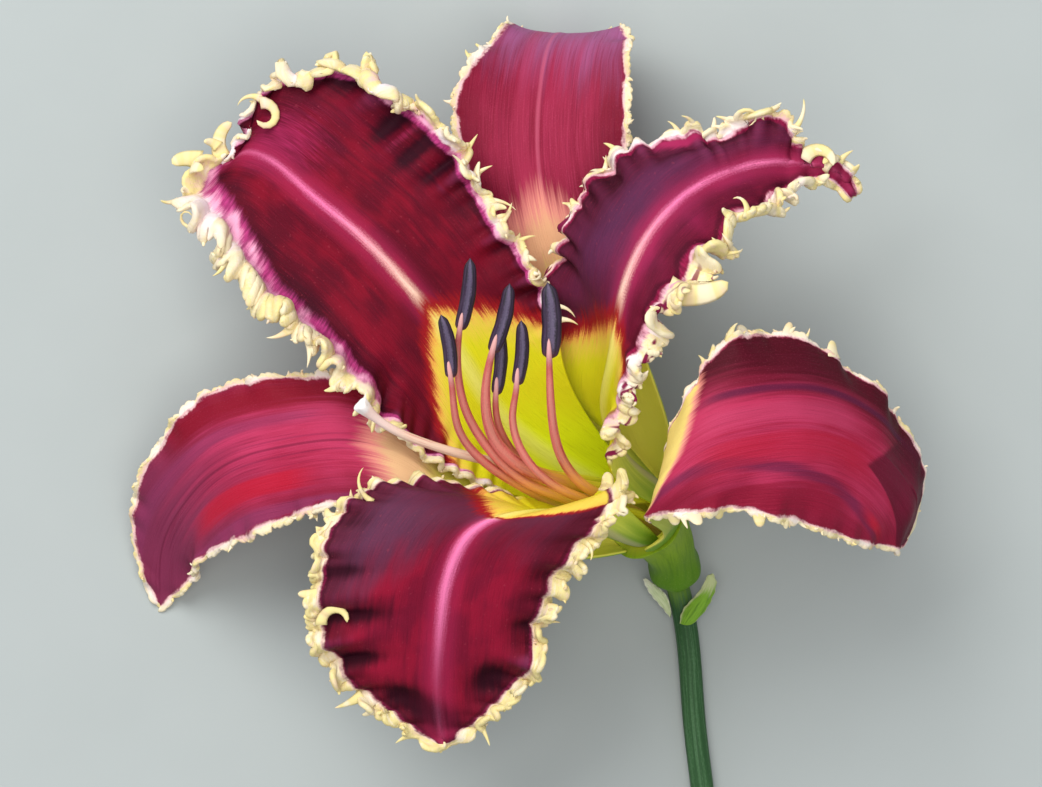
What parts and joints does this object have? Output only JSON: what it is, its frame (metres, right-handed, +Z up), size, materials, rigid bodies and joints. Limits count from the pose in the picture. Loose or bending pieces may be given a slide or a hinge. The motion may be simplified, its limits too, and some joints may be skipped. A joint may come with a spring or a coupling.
{
  "type": "daylily flower",
  "caption": "Open daylily bloom with ruffled, fringed petals, narrower sepals, stamens and a pistil, picked with a short stalk and laid on its back.",
  "frame": {"origin": "middle of the bloom's bounding box in x and y, on the surface that the bloom lies on", "axes": "+Z up out of the bloom's face, towards someone who looks down on it; +Y towards the top sepal, away from the cut stalk; +X towards the right sepal"},
  "size_m": [0.1447, 0.1638, 0.0709],
  "materials": {
    "petal": "satin",
    "sepal": "satin",
    "tube": "satin",
    "filament": "satin",
    "anther": "matt",
    "pistil": "satin",
    "stalk": "satin",
    "bract_green": "satin",
    "bract_pale": "matt, papery"
  },
  "bodies": {
    "root": {"petal_upper_left": "petal", "petal_upper_right": "petal", "petal_lower": "petal", "sepal_top": "sepal", "sepal_left": "sepal", "sepal_right": "sepal", "perianth_tube": "tube", "pistil": "pistil", "stalk": "stalk", "bract_green": "bract_green", "bract_pale": "bract_pale", "filament_1": "filament", "anther_1": "anther", "filament_2": "filament", "anther_2": "anther", "filament_3": "filament", "anther_3": "anther", "filament_4": "filament", "anther_4": "anther", "filament_5": "filament", "anther_5": "anther", "filament_6": "filament", "anther_6": "anther"}
  },
  "joints": []
}
